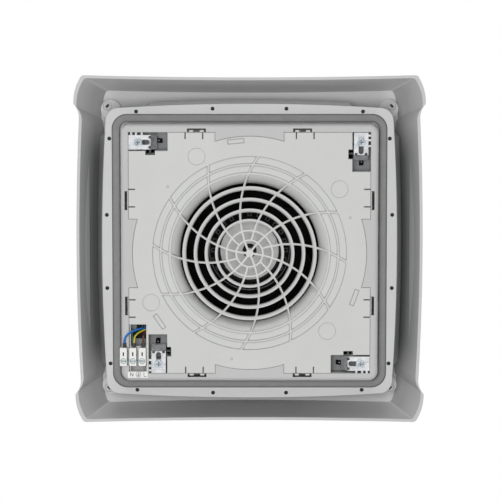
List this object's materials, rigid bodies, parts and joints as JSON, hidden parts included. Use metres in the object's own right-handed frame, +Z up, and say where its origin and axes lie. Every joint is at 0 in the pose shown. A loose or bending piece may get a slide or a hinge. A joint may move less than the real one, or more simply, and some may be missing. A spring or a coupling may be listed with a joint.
{
  "type": "roof exhaust fan unit",
  "caption": "Roof-mounted exhaust fan unit for a rack or enclosure: weather hood over a base frame with gasket, inlet panel with finger guard, motor impeller and spring clips.",
  "frame": {"origin": "centre of the roof plane that the flange seats on", "axes": "+Z up towards the hood, -Y the front, +X the right when seen from the front"},
  "size_m": [0.4, 0.3972, 0.1215],
  "materials": {
    "hood_shell": "moulded light grey plastic, fine grain",
    "frame_shell": "moulded light grey plastic",
    "panel_shell": "moulded light grey plastic",
    "inlet_shell": "moulded light grey plastic",
    "lock_plastic": "moulded grey plastic",
    "gasket_foam": "grey closed-cell foam, cast in place",
    "fan_black": "black glass-filled plastic",
    "rotor_metal": "black painted deep-drawn steel",
    "cap_grey": "light grey plastic disc",
    "magnet": "bonded ferrite",
    "steel": "ground steel",
    "laminations": "stacked electrical steel",
    "copper": "enamelled copper wire",
    "cast_aluminium": "die-cast aluminium",
    "zinc_sheet": "zinc-plated sheet steel",
    "spring_steel": "bright zinc-plated spring steel",
    "screw_steel": "zinc-plated screws",
    "terminal_white": "white polyamide",
    "clamp_brass": "nickel-plated brass",
    "ferrule_black": "black ferrule collars",
    "wire_blue": "blue wire insulation",
    "wire_green_yellow": "green wire insulation with a yellow stripe",
    "wire_brown": "brown wire insulation",
    "lead_black": "black sheathed lead",
    "label_white": "white adhesive label"
  },
  "bodies": {
    "housing": {"base_frame": "frame_shell", "base_tub": "frame_shell", "bearings": "steel", "bracket_posts": "zinc_sheet", "clip_housings": "frame_shell", "clip_screws": "screw_steel", "finger_guard": "panel_shell", "hood": "hood_shell", "inlet_panel": "panel_shell", "inlet_ring": "inlet_shell", "lead_grommet": "lead_black", "motor_bracket": "zinc_sheet", "motor_lead": "lead_black", "motor_screws": "screw_steel", "panel_hooks": "panel_shell", "post_screws": "screw_steel", "rain_upstand": "frame_shell", "roof_gasket": "gasket_foam", "stator_core": "laminations", "stator_flange": "cast_aluminium", "stator_windings": "copper", "terminal_block": "terminal_white", "terminal_clamps": "clamp_brass", "terminal_label": "label_white", "terminal_screws": "screw_steel", "terminal_well": "frame_shell", "wire_blue": "wire_blue", "wire_brown": "wire_brown", "wire_ferrules": "ferrule_black", "wire_green_yellow": "wire_green_yellow"},
    "rotor": {"impeller_wheel": "fan_black", "impeller_blades": "fan_black", "impeller_shroud": "fan_black", "rotor_can": "rotor_metal", "rotor_cap": "cap_grey", "rotor_magnets": "magnet", "motor_shaft": "steel"},
    "clip_front_left": {"spring_clip_front_left": "spring_steel"},
    "lock_front_left": {"hood_lock_front_left": "lock_plastic"},
    "clip_front_right": {"spring_clip_front_right": "spring_steel"},
    "lock_front_right": {"hood_lock_front_right": "lock_plastic"},
    "clip_rear_right": {"spring_clip_rear_right": "spring_steel"},
    "lock_rear_right": {"hood_lock_rear_right": "lock_plastic"},
    "clip_rear_left": {"spring_clip_rear_left": "spring_steel"},
    "lock_rear_left": {"hood_lock_rear_left": "lock_plastic"}
  },
  "joints": [
    {"name": "fan_spin", "type": "hinge", "parent": "housing", "child": "rotor", "pos_m": [0, 0, 0.03], "axis": [0, 0, 1], "continuous": true},
    {"name": "clip_slide_front_left", "type": "slide", "parent": "housing", "child": "clip_front_left", "axis": [-1, 0, 0], "range_m": [0, 0.007]},
    {"name": "clip_slide_front_right", "type": "slide", "parent": "housing", "child": "clip_front_right", "axis": [0, -1, 0], "range_m": [0, 0.007]},
    {"name": "clip_slide_rear_right", "type": "slide", "parent": "housing", "child": "clip_rear_right", "axis": [1, 0, 0], "range_m": [0, 0.007]},
    {"name": "clip_slide_rear_left", "type": "slide", "parent": "housing", "child": "clip_rear_left", "axis": [0, 1, 0], "range_m": [0, 0.007]},
    {"name": "lock_turn_front_left", "type": "hinge", "parent": "housing", "child": "lock_front_left", "pos_m": [-0.1638, -0.1638, 0.056], "axis": [0, 0, -1], "range_deg": [0, 90]},
    {"name": "lock_turn_front_right", "type": "hinge", "parent": "housing", "child": "lock_front_right", "pos_m": [0.1638, -0.1638, 0.056], "axis": [0, 0, -1], "range_deg": [0, 90]},
    {"name": "lock_turn_rear_right", "type": "hinge", "parent": "housing", "child": "lock_rear_right", "pos_m": [0.1638, 0.1638, 0.056], "axis": [0, 0, -1], "range_deg": [0, 90]},
    {"name": "lock_turn_rear_left", "type": "hinge", "parent": "housing", "child": "lock_rear_left", "pos_m": [-0.1638, 0.1638, 0.056], "axis": [0, 0, -1], "range_deg": [0, 90]}
  ]
}
